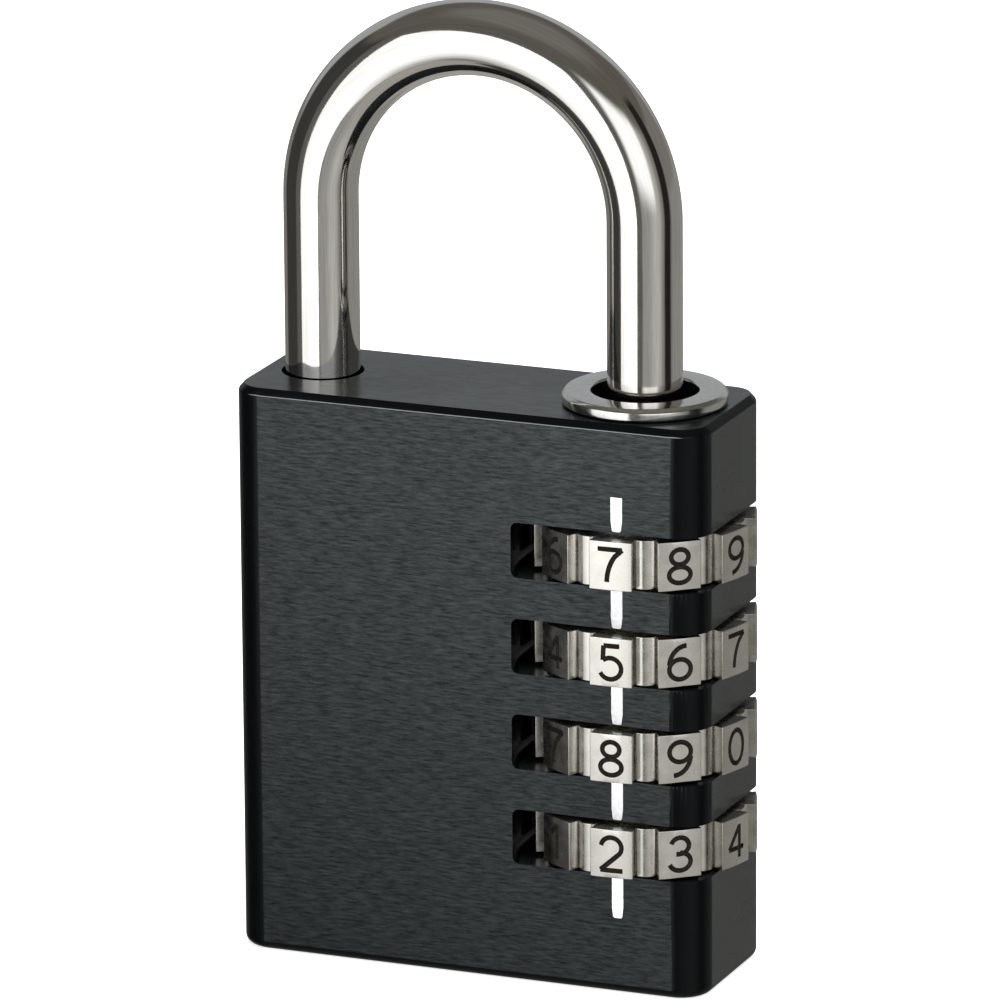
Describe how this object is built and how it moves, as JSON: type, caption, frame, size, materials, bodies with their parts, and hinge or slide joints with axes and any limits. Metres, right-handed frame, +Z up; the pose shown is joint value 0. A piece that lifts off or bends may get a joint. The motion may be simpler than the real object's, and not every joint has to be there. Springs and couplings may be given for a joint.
{
  "type": "combination padlock",
  "caption": "Combination padlock: black block body with edge dials numbered 0 to 9, a chromed round shackle that lifts, and a collar round its long leg.",
  "frame": {"origin": "middle of the body's flat bottom face", "axes": "+Z up along the shackle legs, -Y the front face with the index line, +X towards the dials' side"},
  "size_m": [0.0415, 0.0176, 0.0779],
  "materials": {
    "body": "black anodised, brushed along the width",
    "chrome": "polished",
    "dials": "satin nickel",
    "brass": "turned",
    "spring": "spring steel",
    "black_paint": "matt fill",
    "white_paint": "satin print"
  },
  "bodies": {
    "case": {"body": "body", "shackle_collar": "chrome", "bottom_plug": "body", "thrust_washer": "spring", "spring_seat": "spring", "sleeve_spring": "spring", "click_leaf_1": "spring", "click_leaf_2": "spring", "click_leaf_3": "spring", "click_leaf_4": "spring"},
    "shackle": {"shackle": "chrome", "retaining_clip": "spring"},
    "dial_1": {"dial_1": "dials", "sleeve_1": "brass"},
    "dial_2": {"dial_2": "dials", "sleeve_2": "brass"},
    "dial_3": {"dial_3": "dials", "sleeve_3": "brass"},
    "dial_4": {"dial_4": "dials", "sleeve_4": "brass"}
  },
  "joints": [
    {"name": "shackle_lift", "type": "slide", "parent": "case", "child": "shackle", "axis": [0, 0, 1], "range_m": [0, 0.00667]},
    {"name": "dial_1_turn", "type": "hinge", "parent": "case", "child": "dial_1", "pos_m": [0.01257, 0, 0.03566], "axis": [0, 0, 1], "continuous": true, "deforming": ["click_leaf_1"]},
    {"name": "dial_2_turn", "type": "hinge", "parent": "case", "child": "dial_2", "pos_m": [0.01257, 0, 0.0278], "axis": [0, 0, 1], "continuous": true, "deforming": ["click_leaf_2"]},
    {"name": "dial_3_turn", "type": "hinge", "parent": "case", "child": "dial_3", "pos_m": [0.01257, 0, 0.01993], "axis": [0, 0, 1], "continuous": true, "deforming": ["click_leaf_3"]},
    {"name": "dial_4_turn", "type": "hinge", "parent": "case", "child": "dial_4", "pos_m": [0.01257, 0, 0.01206], "axis": [0, 0, 1], "continuous": true, "deforming": ["click_leaf_4"]}
  ]
}
